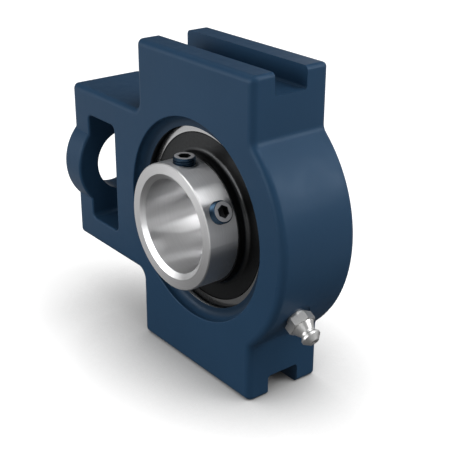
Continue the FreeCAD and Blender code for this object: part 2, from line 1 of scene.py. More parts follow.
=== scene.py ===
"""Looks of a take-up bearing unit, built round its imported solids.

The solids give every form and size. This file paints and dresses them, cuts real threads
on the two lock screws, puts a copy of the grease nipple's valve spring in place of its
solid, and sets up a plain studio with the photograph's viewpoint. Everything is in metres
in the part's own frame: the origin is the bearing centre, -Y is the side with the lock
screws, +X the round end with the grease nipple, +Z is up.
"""

import logging
import math
from dataclasses import dataclass, field
from enum import Enum, IntEnum
from typing import Any, Iterable, Mapping, Sequence

import bmesh
import bpy
from mathutils import Matrix, Vector

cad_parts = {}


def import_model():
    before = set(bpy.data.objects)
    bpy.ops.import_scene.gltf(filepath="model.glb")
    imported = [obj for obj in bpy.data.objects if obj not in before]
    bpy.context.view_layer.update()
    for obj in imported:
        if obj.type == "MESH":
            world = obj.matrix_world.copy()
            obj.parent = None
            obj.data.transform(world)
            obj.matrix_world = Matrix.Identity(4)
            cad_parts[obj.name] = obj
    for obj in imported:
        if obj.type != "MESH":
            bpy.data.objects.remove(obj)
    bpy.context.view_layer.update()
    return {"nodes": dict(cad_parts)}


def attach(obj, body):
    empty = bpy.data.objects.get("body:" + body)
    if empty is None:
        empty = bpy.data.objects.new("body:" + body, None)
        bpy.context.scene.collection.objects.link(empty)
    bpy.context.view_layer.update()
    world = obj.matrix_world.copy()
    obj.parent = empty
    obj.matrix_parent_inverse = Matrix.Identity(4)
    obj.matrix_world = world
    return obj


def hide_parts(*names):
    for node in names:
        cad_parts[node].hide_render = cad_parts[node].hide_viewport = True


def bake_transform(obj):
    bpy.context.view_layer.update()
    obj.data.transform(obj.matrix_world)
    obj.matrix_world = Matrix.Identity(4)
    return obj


LOG = logging.getLogger("take_up_unit")
MM = 0.001
SHAFT_AXIS = Vector((0.0, 1.0, 0.0))
WHITE = (1.0, 1.0, 1.0, 1.0)
PAINT_AND_POLYMER_IOR = 1.5
# Corners nearer than this, in metres, become one when a piece is finished.
WELD = 1e-7
# Nearly all noise lies between these values.
NOISE_SPAN = {"From Min": 0.3, "From Max": 0.7}
# Sockets of a Mix node that is set to colours.
MIX_SHARE, MIX_FIRST, MIX_SECOND, MIX_RESULT = 0, 6, 7, 2


class Grain(Enum):
    """Real sizes, in millimetres, that the patterns of the finishes are drawn at."""

    PAINT_SHADES = 30.0
    CAST_WAVES = 9.0
    PAINT_GLOSS = 4.0
    ORANGE_PEEL = 1.1
    SHEET_GRAIN = 0.8
    THREAD_GRAIN = 0.6
    FINE_GRAIN = 0.5
    LATHE_MARKS = 0.35

    @property
    def per_metre(self) -> float:
        """Give how many blobs of the pattern stand side by side in a metre."""
        return 1.0 / (self.value * MM)


def linear(code: str) -> tuple[float, float, float, float]:
    """Turn an sRGB hex colour into Blender's linear colour.

    Args:
        code: The colour as written, such as "#2B4057".

    Returns:
        Red, green, blue and an alpha of one.
    """
    parts = [int(code[k : k + 2], 16) / 255 for k in (1, 3, 5)]
    red, green, blue = (
        v / 12.92 if v <= 0.04045 else ((v + 0.055) / 1.055) ** 2.4 for v in parts
    )
    return red, green, blue, 1.0


def add(
    tree: bpy.types.NodeTree,
    kind: str,
    inputs: Mapping[Any, Any] | None = None,
    **settings: Any,
) -> bpy.types.Node:
    """Add a node with its settings, values and links.

    Args:
        tree: The node tree that gets the node.
        kind: Blender's name of the node's class.
        inputs: Socket name or number to a value, or to the output that feeds it.
        **settings: The node's own options, such as operation.

    Returns:
        The new node.
    """
    node = tree.nodes.new(kind)
    for name, value in settings.items():
        setattr(node, name, value)
    for name, value in (inputs or {}).items():
        if isinstance(value, bpy.types.NodeSocket):
            tree.links.new(value, node.inputs[name])
        else:
            node.inputs[name].default_value = value
    return node


@dataclass
class Shader:
    """A new material with its tree, its surface shader and positions on the piece."""

    name: str
    material: bpy.types.Material = field(init=False)
    tree: bpy.types.NodeTree = field(init=False)
    surface: bpy.types.Node = field(init=False)
    place: bpy.types.NodeSocket = field(init=False)

    def __post_init__(self) -> None:
        """Make the material and find its shader."""
        self.material = bpy.data.materials.new(self.name)
        self.material.use_nodes = True
        self.tree = self.material.node_tree
        self.surface = next(n for n in self.tree.nodes if n.type == "BSDF_PRINCIPLED")
        self.place = add(self.tree, "ShaderNodeTexCoord").outputs["Object"]

    def constants(self, **values: Any) -> None:
        """Set values that are the same all over, on the shader itself.

        Args:
            **values: Socket names with underscores for spaces, and their values.
        """
        for name, value in values.items():
            self.surface.inputs[name.replace("_", " ")].default_value = value

    def feed(self, name: str, value: bpy.types.NodeSocket) -> None:
        """Link a varying value to one of the shader's sockets."""
        self.tree.links.new(value, self.surface.inputs[name])

    def cover(
        self,
        grain: Grain,
        detail: float,
        colours: tuple[str, str],
        roughness: tuple[float, float],
        depth_mm: float,
        place: bpy.types.NodeSocket | None = None,
    ) -> None:
        """Let one pattern vary the colour and the gloss and raise the surface.

        Args:
            grain: The pattern's real size.
            detail: Number of finer layers in it.
            colours: Hex colours of its low and its high places.
            roughness: Roughness of its low and its high places. Two equal values are set
                on the shader itself.
            depth_mm: How far a pattern of 1 stands above 0. Nothing is raised by 0.
            place: Positions that the pattern is drawn on, if not those on the piece.
        """
        pattern = add(
            self.tree,
            "ShaderNodeTexNoise",
            {
                "Vector": self.place if place is None else place,
                "Scale": grain.per_metre,
                "Detail": detail,
            },
        ).outputs["Fac"]
        share = add(self.tree, "ShaderNodeMapRange", {"Value": pattern, **NOISE_SPAN})
        colour = add(
            self.tree,
            "ShaderNodeMix",
            {
                MIX_SHARE: share.outputs["Result"],
                MIX_FIRST: linear(colours[0]),
                MIX_SECOND: linear(colours[1]),
            },
            data_type="RGBA",
        )
        self.feed("Base Color", colour.outputs[MIX_RESULT])
        low, high = roughness
        if low == high:
            self.constants(Roughness=low)
        else:
            gloss = add(
                self.tree,
                "ShaderNodeMapRange",
                {"Value": pattern, **NOISE_SPAN, "To Min": low, "To Max": high},
            )
            self.feed("Roughness", gloss.outputs["Result"])
        if depth_mm > 0:
            raised = add(
                self.tree,
                "ShaderNodeBump",
                {"Height": pattern, "Distance": depth_mm * MM, "Strength": 1.0},
            )
            self.feed("Normal", raised.outputs["Normal"])

    def across_turning(self) -> bpy.types.NodeSocket:
        """Give the direction that crosses the marks of turning round the shaft axis.

        Returns:
            A world direction, along the axis on cylinders and radial on end faces.
        """
        around = add(
            self.tree,
            "ShaderNodeVectorMath",
            {0: tuple(SHAFT_AXIS), 1: self.place},
            operation="CROSS_PRODUCT",
        ).outputs["Vector"]
        normal = add(self.tree, "ShaderNodeTexCoord").outputs["Normal"]
        across = add(
            self.tree,
            "ShaderNodeVectorMath",
            {0: normal, 1: around},
            operation="CROSS_PRODUCT",
        ).outputs["Vector"]
        return add(
            self.tree,
            "ShaderNodeVectorTransform",
            {"Vector": across},
            vector_type="VECTOR",
            convert_from="OBJECT",
            convert_to="WORLD",
        ).outputs["Vector"]

    def off_axis(self) -> bpy.types.NodeSocket:
        """Measure how far each point is from the shaft axis.

        Returns:
            The distance in metres.
        """
        flat = add(
            self.tree,
            "ShaderNodeVectorMath",
            {0: self.place, 1: (1.0, 0.0, 1.0)},
            operation="MULTIPLY",
        ).outputs["Vector"]
        return add(
            self.tree, "ShaderNodeVectorMath", {0: flat}, operation="LENGTH"
        ).outputs["Value"]


@dataclass(frozen=True)
class SatinEnamel:
    """Satin enamel on sand-cast grey iron.

    The sand leaves slow waves and the sprayed coat a faint orange peel, so highlights
    along edges are broad and a little uneven. The seat is machined after painting and
    shows unpainted iron, drawn near black as painted shade, and the recess beside it is
    painted darker towards the seat as painted shade.
    """

    seat_radius_mm: float
    seat_half_mm: float
    colour: str = "#243E57"
    shade: str = "#223B53"
    # Near black: unpainted iron darkened as painted shade in the seat, and the colour that the
    # recess's painted shade goes towards.
    iron: str = "#141618"
    # Painted shade in the recess: how far its paint goes towards the near-black colour at the
    # seat, fading out over the span below.
    recess_shade: float = 0.55
    recess_shade_within_mm: float = 0.6
    recess_shade_beyond_mm: float = 1.3
    roughness: tuple[float, float] = (0.34, 0.42)
    specular: float = 0.2
    gloss_tint: str = "#B4CCE6"
    peel_depth_mm: float = 0.012
    wave_depth_mm: float = 0.05

    def iron_and_shade_share(self, s: Shader) -> bpy.types.NodeSocket:
        """Find the share of the near-black colour: all of the machined seat, unpainted iron
        darkened as painted shade, and a painted shade in the recess that fades out away from the
        seat.

        Args:
            s: The shader of the casting.

        Returns:
            The share of unpainted iron and painted shade.
        """
        off_axis = s.off_axis()
        near = add(
            s.tree,
            "ShaderNodeMath",
            {0: off_axis, 1: self.seat_radius_mm * MM},
            operation="LESS_THAN",
        )
        along = add(s.tree, "ShaderNodeSeparateXYZ", {0: s.place}).outputs["Y"]
        depth = add(s.tree, "ShaderNodeMath", {0: along}, operation="ABSOLUTE")
        inside = add(
            s.tree,
            "ShaderNodeMath",
            {0: depth.outputs[0], 1: self.seat_half_mm * MM},
            operation="LESS_THAN",
        )
        # The machined seat takes the near-black colour in full: unpainted iron, darkened as
        # painted shade.
        machined = add(
            s.tree,
            "ShaderNodeMath",
            {0: near.outputs[0], 1: inside.outputs[0]},
            operation="MULTIPLY",
        )
        # Painted shade: the paint in the recess darkens towards the seat, where the recess lies in
        # shade.
        thin = add(
            s.tree,
            "ShaderNodeMapRange",
            {
                "Value": off_axis,
                "From Min": (self.seat_radius_mm - self.recess_shade_within_mm) * MM,
                "From Max": (self.seat_radius_mm + self.recess_shade_beyond_mm) * MM,
                "To Min": self.recess_shade,
                "To Max": 0.0,
            },
            interpolation_type="SMOOTHSTEP",
        )
        return add(
            s.tree,
            "ShaderNodeMath",
            {0: machined.outputs[0], 1: thin.outputs["Result"]},
            operation="MAXIMUM",
        ).outputs[0]

    def material(self) -> bpy.types.Material:
        """Make the finish.

        Returns:
            The material.
        """
        s = Shader("satin_enamel_on_cast_iron")
        pattern = {
            grain: add(
                s.tree,
                "ShaderNodeTexNoise",
                {"Vector": s.place, "Scale": grain.per_metre, "Detail": detail},
            ).outputs["Fac"]
            for grain, detail in (
                (Grain.PAINT_SHADES, 3.0),
                (Grain.PAINT_GLOSS, 2.0),
                (Grain.CAST_WAVES, 2.0),
                (Grain.ORANGE_PEEL, 2.0),
            )
        }
        share = add(
            s.tree, "ShaderNodeMapRange", {"Value": pattern[Grain.PAINT_SHADES], **NOISE_SPAN}
        )
        paint = add(
            s.tree,
            "ShaderNodeMix",
            {
                MIX_SHARE: share.outputs["Result"],
                MIX_FIRST: linear(self.colour),
                MIX_SECOND: linear(self.shade),
            },
            data_type="RGBA",
        )
        # The paint goes towards the near-black colour by the seat's and the recess's painted
        # shade.
        colour = add(
            s.tree,
            "ShaderNodeMix",
            {
                MIX_SHARE: self.iron_and_shade_share(s),
                MIX_FIRST: paint.outputs[MIX_RESULT],
                MIX_SECOND: linear(self.iron),
            },
            data_type="RGBA",
        )
        s.feed("Base Color", colour.outputs[MIX_RESULT])
        low, high = self.roughness
        gloss = add(
            s.tree,
            "ShaderNodeMapRange",
            {
                "Value": pattern[Grain.PAINT_GLOSS],
                **NOISE_SPAN,
                "To Min": low,
                "To Max": high,
            },
        )
        s.feed("Roughness", gloss.outputs["Result"])
        waves = add(
            s.tree,
            "ShaderNodeBump",
            {
                "Height": pattern[Grain.CAST_WAVES],
                "Distance": self.wave_depth_mm * MM,
                "Strength": 1.0,
            },
        )
        peel = add(
            s.tree,
            "ShaderNodeBump",
            {
                "Height": pattern[Grain.ORANGE_PEEL],
                "Distance": self.peel_depth_mm * MM,
                "Strength": 1.0,
                "Normal": waves.outputs["Normal"],
            },
        )
        s.feed("Normal", peel.outputs["Normal"])
        s.constants(
            IOR=PAINT_AND_POLYMER_IOR,
            Metallic=0.0,
            Specular_IOR_Level=self.specular,
            Specular_Tint=linear(self.gloss_tint),
        )
        return s.material


@dataclass(frozen=True)
class TurnedSteel:
    """Bearing steel, hardened and fine turned.

    Turning leaves fine marks round the axis, so reflections are clear along the marks
    and smear far across them. End faces are finer and smear less. The smear falls from
    the one to the other as the normal tips over to the axis, from side_tilt to end_tilt.
    The marks are drawn coarser than real ones, so that they show.
    """

    name: str = "ground_bearing_steel"
    colour: str = "#E8E8E9"
    shade: str = "#E0E0E1"
    roughness: tuple[float, float] = (0.36, 0.40)
    mark_depth_mm: float = 0.0002
    smear: float = 1.0
    end_smear: float = 0.35
    side_tilt: float = 0.3
    end_tilt: float = 0.9

    def material(self) -> bpy.types.Material:
        """Make the finish.

        Returns:
            The material.
        """
        s = Shader(self.name)
        along = add(s.tree, "ShaderNodeSeparateXYZ", {0: s.place}).outputs["Y"]
        ring = add(s.tree, "ShaderNodeCombineXYZ", {0: s.off_axis(), 1: along})
        s.cover(
            Grain.LATHE_MARKS,
            detail=3.0,
            colours=(self.colour, self.shade),
            roughness=self.roughness,
            depth_mm=self.mark_depth_mm,
            place=ring.outputs[0],
        )
        s.feed("Tangent", s.across_turning())
        s.constants(Metallic=1.0)
        if self.smear <= self.end_smear:
            s.constants(Anisotropic=self.smear)
            return s.material
        facing = add(s.tree, "ShaderNodeNewGeometry").outputs["Normal"]
        axial = add(s.tree, "ShaderNodeSeparateXYZ", {0: facing}).outputs["Y"]
        tilt = add(s.tree, "ShaderNodeMath", {0: axial}, operation="ABSOLUTE")
        smear = add(
            s.tree,
            "ShaderNodeMapRange",
            {
                "Value": tilt.outputs[0],
                "From Min": self.side_tilt,
                "From Max": self.end_tilt,
                "To Min": self.smear,
                "To Max": self.end_smear,
            },
        )
        s.feed("Anisotropic", smear.outputs["Result"])
        return s.material


@dataclass(frozen=True)
class OxidisedSteel:
    """Steel under a thin conversion layer or plating, pressed or machined.

    The layer keeps a soft metallic gloss and is faintly mottled.
    """

    name: str
    colour: str
    shade: str
    roughness: tuple[float, float] = (0.34, 0.44)
    grain: Grain = Grain.SHEET_GRAIN
    grain_depth_mm: float = 0.001
    metallic: float = 1.0

    def material(self) -> bpy.types.Material:
        """Make the finish.

        Returns:
            The material.
        """
        s = Shader(self.name)
        s.cover(
            self.grain,
            detail=3.0,
            colours=(self.colour, self.shade),
            roughness=self.roughness,
            depth_mm=self.grain_depth_mm,
        )
        s.constants(Metallic=self.metallic)
        return s.material


@dataclass(frozen=True)
class Moulded:
    """Polymer or rubber with the fine grain of its mould, which leaves it dull."""

    name: str
    colour: str
    shade: str
    roughness: tuple[float, float] = (0.5, 0.62)
    grain_depth_mm: float = 0.004

    def material(self) -> bpy.types.Material:
        """Make the finish.

        Returns:
            The material.
        """
        s = Shader(self.name)
        s.cover(
            Grain.FINE_GRAIN,
            detail=2.0,
            colours=(self.colour, self.shade),
            roughness=self.roughness,
            depth_mm=self.grain_depth_mm,
        )
        s.constants(IOR=PAINT_AND_POLYMER_IOR, Metallic=0.0)
        return s.material


def dress(
    nodes: Mapping[str, bpy.types.Object], names: Iterable[str], coat: bpy.types.Material
) -> None:
    """Give solids one material.

    Args:
        nodes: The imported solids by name.
        names: Which of them.
        coat: The material.
    """
    for name in names:
        solid = nodes[name]
        solid.data.materials.clear()
        solid.data.materials.append(coat)
        LOG.info("%s wears %s", name, coat.name)


def object_from(bm: bmesh.types.BMesh, name: str, sharp_deg: float) -> bpy.types.Object:
    """Turn a finished bmesh into an object with smooth faces between sharp edges.

    Args:
        bm: The mesh, already in its place. It is freed.
        name: The object's name.
        sharp_deg: Edges that bend more than this stay sharp.

    Returns:
        The object, at the origin.
    """
    bmesh.ops.remove_doubles(bm, verts=bm.verts, dist=WELD)
    bmesh.ops.recalc_face_normals(bm, faces=bm.faces)
    mesh = bpy.data.meshes.new(name)
    bm.to_mesh(mesh)
    bm.free()
    mesh.shade_smooth()
    mesh.set_sharp_from_angle(angle=math.radians(sharp_deg))
    piece = bpy.data.objects.new(name, mesh)
    bpy.context.scene.collection.objects.link(piece)
    return piece


class ScrewPart(IntEnum):
    """Places on a lock screw, as the numbers of their materials."""

    THREAD = 0
    END = 1
    SOCKET = 2


@dataclass
class LockScrew:
    """Socket set screw with a real thread, standing radially in the inner ring."""

    name: str
    node: str
    angle_deg: float
    socket_turn_deg: float
    plane_y_mm: float = -16.8
    tip_mm: float = 15.4
    end_mm: float = 22.2
    radius_mm: float = 3.5
    pitch_mm: float = 0.75
    thread_depth_mm: float = 0.44
    # Along one pitch, where the tooth leaves the root, reaches and leaves the crest, and
    # is back at the root.
    tooth: tuple[float, float, float, float] = (0.14, 0.46, 0.56, 0.88)
    turns_below: int = 2
    turns_spare: int = 3
    chamfer_mm: float = 0.34
    rim_inside_root_mm: float = 0.01
    cup_share: float = 0.62
    cup_depth_mm: float = 0.9
    socket_flats_mm: float = 3.35
    socket_depth_mm: float = 3.0
    socket_chamfer_mm: float = 0.12
    drill_point_mm: float = 0.7
    # Faces within this radius, and this near to the outer end, are the socket's.
    socket_zone_mm: tuple[float, float] = (2.15, 4.0)
    sharp_deg: float = 32.0
    steps: int = 60
    # In metres: corners that weld from turn to turn, corners that count as on a cut, and
    # edges and faces that count as lying in an end.
    thread_weld: float = 2e-6
    cut_tolerance: float = 1e-8
    level_tolerance: float = 1e-6

    def thread(self) -> bmesh.types.BMesh:
        """Spin one tooth of the thread into a screw that is longer than needed.

        Returns:
            The open thread, upright, with its tip at its lowest point.
        """
        bm = bmesh.new()
        pitch = self.pitch_mm * MM
        crest = self.radius_mm * MM
        root = crest - self.thread_depth_mm * MM
        shares = (0.0, *self.tooth, 1.0)
        radii = (root, root, crest, crest, root, root)
        start = (self.tip_mm - self.turns_below * self.pitch_mm) * MM
        points = [bm.verts.new((r, 0.0, start + share * pitch)) for r, share in zip(radii, shares)]
        edges = [bm.edges.new(pair) for pair in zip(points, points[1:])]
        turns = math.ceil((self.end_mm - self.tip_mm) / self.pitch_mm) + self.turns_spare
        bmesh.ops.spin(
            bm,
            geom=points + edges,
            cent=(0.0, 0.0, 0.0),
            axis=(0.0, 0.0, 1.0),
            dvec=(0.0, 0.0, pitch / self.steps),
            angle=math.tau * turns,
            steps=self.steps * turns,
            use_merge=False,
        )
        bmesh.ops.remove_doubles(bm, verts=bm.verts, dist=self.thread_weld)
        return bm

    def trimmed(
        self, bm: bmesh.types.BMesh
    ) -> tuple[list[bmesh.types.BMEdge], list[bmesh.types.BMEdge]]:
        """Cut both ends square and chamfer them.

        Args:
            bm: The long thread.

        Returns:
            The edges of the tip's rim and of the outer rim.
        """
        low, high = self.tip_mm * MM, self.end_mm * MM
        for height, normal in ((low, (0, 0, -1)), (high, (0, 0, 1))):
            bmesh.ops.bisect_plane(
                bm,
                geom=bm.verts[:] + bm.edges[:] + bm.faces[:],
                dist=self.cut_tolerance,
                plane_co=(0, 0, height),
                plane_no=normal,
                clear_outer=True,
            )
        flush = (self.radius_mm - self.thread_depth_mm - self.rim_inside_root_mm) * MM
        slope = self.thread_depth_mm / self.chamfer_mm
        for vert in bm.verts:
            room = min(vert.co.z - low, high - vert.co.z)
            limit = flush + max(0.0, room) * slope
            radius = math.hypot(vert.co.x, vert.co.y)
            if radius > limit:
                vert.co.x *= limit / radius
                vert.co.y *= limit / radius
        near = self.level_tolerance
        rims = [e for e in bm.edges if len(e.link_faces) == 1]
        tip = [e for e in rims if max(v.co.z for v in e.verts) < low + near]
        top = [e for e in rims if min(v.co.z for v in e.verts) > high - near]
        return tip, top

    def close_tip(self, bm: bmesh.types.BMesh, rim: list[bmesh.types.BMEdge]) -> None:
        """Close the tip with a hollow cup.

        Args:
            bm: The screw.
            rim: Edges of the tip's rim.
        """
        ring = bmesh.ops.extrude_edge_only(bm, edges=rim)["geom"]
        verts = [g for g in ring if isinstance(g, bmesh.types.BMVert)]
        edges = [g for g in ring if isinstance(g, bmesh.types.BMEdge)]
        bmesh.ops.scale(bm, verts=verts, vec=(self.cup_share, self.cup_share, 1.0))
        cup = bmesh.ops.extrude_edge_only(bm, edges=edges)["geom"]
        deep = [g for g in cup if isinstance(g, bmesh.types.BMVert)]
        bottom = (self.tip_mm + self.cup_depth_mm) * MM
        bmesh.ops.pointmerge(bm, verts=deep, merge_co=(0.0, 0.0, bottom))

    def on_hexagon(self, angle: float, half_flats: float) -> tuple[float, float]:
        """Find the socket's outline in a direction, drawn to a corner that is close.

        Args:
            angle: The direction, in radians.
            half_flats: Half the width across flats.

        Returns:
            The outline's point.
        """
        sector = math.tau / 6
        first = math.radians(90.0 + self.socket_turn_deg)
        corner = first + round((angle - first) / sector) * sector
        if abs(angle - corner) <= math.pi / self.steps:
            angle = corner
        beside = sector / 2 - abs(angle - corner)
        reach = half_flats / math.cos(beside)
        return reach * math.cos(angle), reach * math.sin(angle)

    def close_head(self, bm: bmesh.types.BMesh, rim: list[bmesh.types.BMEdge]) -> None:
        """Close the outer end with a flat ring and a hexagon socket.

        Args:
            bm: The screw.
            rim: Edges of the outer rim.
        """
        mouth = self.socket_flats_mm / 2 + self.socket_chamfer_mm
        ring = bmesh.ops.extrude_edge_only(bm, edges=rim)["geom"]
        for vert in (g for g in ring if isinstance(g, bmesh.types.BMVert)):
            vert.co.xy = self.on_hexagon(math.atan2(vert.co.y, vert.co.x), mouth * MM)
        edges = [g for g in ring if isinstance(g, bmesh.types.BMEdge)]
        inner = self.socket_flats_mm / 2 / mouth
        wall = self.socket_depth_mm - self.drill_point_mm
        for shrink, drop_mm in ((inner, self.socket_chamfer_mm), (1.0, wall)):
            new = bmesh.ops.extrude_edge_only(bm, edges=edges)["geom"]
            verts = [g for g in new if isinstance(g, bmesh.types.BMVert)]
            edges = [g for g in new if isinstance(g, bmesh.types.BMEdge)]
            bmesh.ops.scale(bm, verts=verts, vec=(shrink, shrink, 1.0))
            bmesh.ops.translate(bm, verts=verts, vec=(0.0, 0.0, -drop_mm * MM))
        bottom = bmesh.ops.extrude_edge_only(bm, edges=edges)["geom"]
        verts = [g for g in bottom if isinstance(g, bmesh.types.BMVert)]
        floor = (self.end_mm - self.socket_depth_mm) * MM
        bmesh.ops.pointmerge(bm, verts=verts, merge_co=(0.0, 0.0, floor))

    def part_of(self, face: bmesh.types.BMFace) -> ScrewPart:
        """Tell which place on the upright screw a face belongs to.

        Args:
            face: The face.

        Returns:
            The place.
        """
        high = self.end_mm * MM
        if all(abs(v.co.z - high) < self.level_tolerance for v in face.verts):
            return ScrewPart.END
        centre = face.calc_center_median()
        radius, depth = (size * MM for size in self.socket_zone_mm)
        if math.hypot(centre.x, centre.y) < radius and centre.z > high - depth:
            return ScrewPart.SOCKET
        return ScrewPart.THREAD

    def build(self, coats: Sequence[bpy.types.Material]) -> None:
        """Make the screw, set it in its hole and let it stand for its solid.

        Args:
            coats: Finishes, in the order of ScrewPart.
        """
        bm = self.thread()
        tip, top = self.trimmed(bm)
        self.close_tip(bm, tip)
        self.close_head(bm, top)
        for face in bm.faces:
            face.material_index = int(self.part_of(face))
        angle = math.radians(self.angle_deg)
        outward = Vector((math.cos(angle), 0.0, math.sin(angle)))
        across = SHAFT_AXIS.cross(outward)
        turn = Matrix((across, SHAFT_AXIS, outward)).transposed().to_4x4()
        place = Matrix.Translation((0.0, self.plane_y_mm * MM, 0.0)) @ turn
        bmesh.ops.transform(bm, matrix=place, verts=bm.verts)
        piece = object_from(bm, self.name, self.sharp_deg)
        for coat in coats:
            piece.data.materials.append(coat)
        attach(piece, self.node)
        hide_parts(self.node)
        LOG.info("%s has %d faces", self.name, len(piece.data.polygons))


@dataclass
class LockScrews:
    """The two screws that lock the inner ring on the shaft."""

    screws: Sequence[LockScrew] = (
        LockScrew("lock_screw_upper", "lock_screw_1", 88.5, 22.0),
        LockScrew("lock_screw_side", "lock_screw_2", 28.0, 29.0),
    )

    def build(self) -> None:
        """Make both screws from the same three finishes."""
        # Rolled thread: dark oxidised steel, its blue tint a painted reflection of the blue
        # housing.
        thread = OxidisedSteel(
            "screw_thread_with_painted_reflection",
            "#3E5468",
            "#324558",
            roughness=(0.28, 0.38),
            grain=Grain.THREAD_GRAIN,
        )
        # End face ground through the dark layer: pale and dull, part metal and part oxide.
        end = OxidisedSteel(
            "ground_screw_end",
            "#C2C2C4",
            "#B8B8BA",
            roughness=(0.38, 0.48),
            grain=Grain.FINE_GRAIN,
            metallic=0.35,
        )
        # Broached socket that keeps the dark layer.
        socket = OxidisedSteel(
            "blackened_socket",
            "#3A3B3D",
            "#2F3032",
            roughness=(0.36, 0.46),
            grain=Grain.FINE_GRAIN,
        )
        coats = [finish.material() for finish in (thread, end, socket)]
        for screw in self.screws:
            screw.build(coats)


@dataclass
class Housing:
    """The painted casting."""

    seat_radius_mm: float = 31.6
    seat_half_mm: float = 10.59

    def dress(self, nodes: Mapping[str, bpy.types.Object]) -> None:
        """Paint the casting and leave its seat machined, with the seat and the recess beside it
        darkened as painted shade.
        """
        dress(nodes, ["housing"], SatinEnamel(self.seat_radius_mm, self.seat_half_mm).material())


@dataclass
class Insert:
    """The ball bearing insert with its rings, balls, cage, seals and flingers."""

    balls: int = 9

    def dress(self, nodes: Mapping[str, bpy.types.Object]) -> None:
        """Give each kind of piece its finish.

        Args:
            nodes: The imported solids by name.
        """
        dress(nodes, ["inner_ring"], TurnedSteel().material())
        # Ground finer than the inner ring: a clear, narrow shine.
        outer = TurnedSteel("ground_outer_ring_steel", roughness=(0.18, 0.22), smear=0.2)
        dress(nodes, ["outer_ring"], outer.material())
        # Lapped balls mirror what is round them.
        ball = TurnedSteel(
            "polished_ball_steel", roughness=(0.08, 0.12), mark_depth_mm=0.0, smear=0.0
        )
        dress(nodes, [f"ball_{k}" for k in range(1, self.balls + 1)], ball.material())
        # Pressed and blackened sheet: a soft dark sheen.
        sheet = OxidisedSteel(
            "blackened_pressed_sheet", "#434445", "#3C3D3E", roughness=(0.32, 0.38)
        )
        dress(
            nodes,
            ["flinger_front", "flinger_back", "seal_washer_front", "seal_washer_back"],
            sheet.material(),
        )
        rubber = Moulded("moulded_nitrile_rubber", "#1B1B1C", "#161617")
        dress(nodes, ["seal_lip_front", "seal_lip_back"], rubber.material())
        dress(nodes, ["cage"], Moulded("moulded_polyamide", "#D8CEB2", "#CFC5A8").material())


@dataclass
class GreaseNipple:
    """The nipple with its check valve."""

    angle_deg: float = -29.6

    def coil(self, solid: bpy.types.Object, coat: bpy.types.Material) -> None:
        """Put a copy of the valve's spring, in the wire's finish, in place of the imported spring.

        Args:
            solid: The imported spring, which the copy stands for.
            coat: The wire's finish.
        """
        mesh = solid.data.copy()
        mesh.transform(solid.matrix_world)
        mesh.materials.clear()
        mesh.materials.append(coat)
        piece = bpy.data.objects.new("valve_spring", mesh)
        bpy.context.scene.collection.objects.link(piece)
        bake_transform(piece)
        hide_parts("nipple_spring")

    def dress(self, nodes: Mapping[str, bpy.types.Object]) -> None:
        """Plate the body and leave the spring and the ball bright.

        Args:
            nodes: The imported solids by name.
        """
        # Barrel plated zinc: a pale, even, slightly milky metal.
        plated = OxidisedSteel(
            "zinc_plated_steel",
            "#D2D2D1",
            "#CCCCCB",
            roughness=(0.32, 0.32),
            grain_depth_mm=0.0,
            metallic=0.8,
        )
        dress(nodes, ["nipple_body"], plated.material())
        wire = OxidisedSteel("drawn_spring_wire", "#9A9A9C", "#8C8C8E")
        self.coil(nodes["nipple_spring"], wire.material())
        ball = OxidisedSteel("polished_valve_ball", "#C8C8C8", "#C0C0C0", roughness=(0.08, 0.12))
        dress(nodes, ["nipple_ball"], ball.material())


def direction(azimuth_deg: float, elevation_deg: float) -> Vector:
    """Give the unit vector from the bearing centre towards a point round it.

    Args:
        azimuth_deg: Turn to the right from straight in front.
        elevation_deg: Height over the horizon.

    Returns:
        The vector.
    """
    a = math.radians(azimuth_deg)
    e = math.radians(elevation_deg)
    return Vector((math.sin(a) * math.cos(e), -math.cos(a) * math.cos(e), math.sin(e)))


@dataclass
class Softbox:
    """A square studio lamp that faces the bearing centre and isn't seen by the camera."""

    name: str
    azimuth_deg: float
    elevation_deg: float
    watts: float
    side: float = 0.5
    reach: float = 1.05

    def build(self) -> None:
        """Hang the lamp and point it."""
        data = bpy.data.lights.new(self.name, "AREA")
        data.shape = "SQUARE"
        data.size = self.side
        data.energy = self.watts
        lamp = bpy.data.objects.new(self.name, data)
        away = direction(self.azimuth_deg, self.elevation_deg)
        lamp.location = away * self.reach
        lamp.rotation_euler = (-away).to_track_quat("-Z", "Y").to_euler()
        lamp.visible_camera = False
        bpy.context.scene.collection.objects.link(lamp)


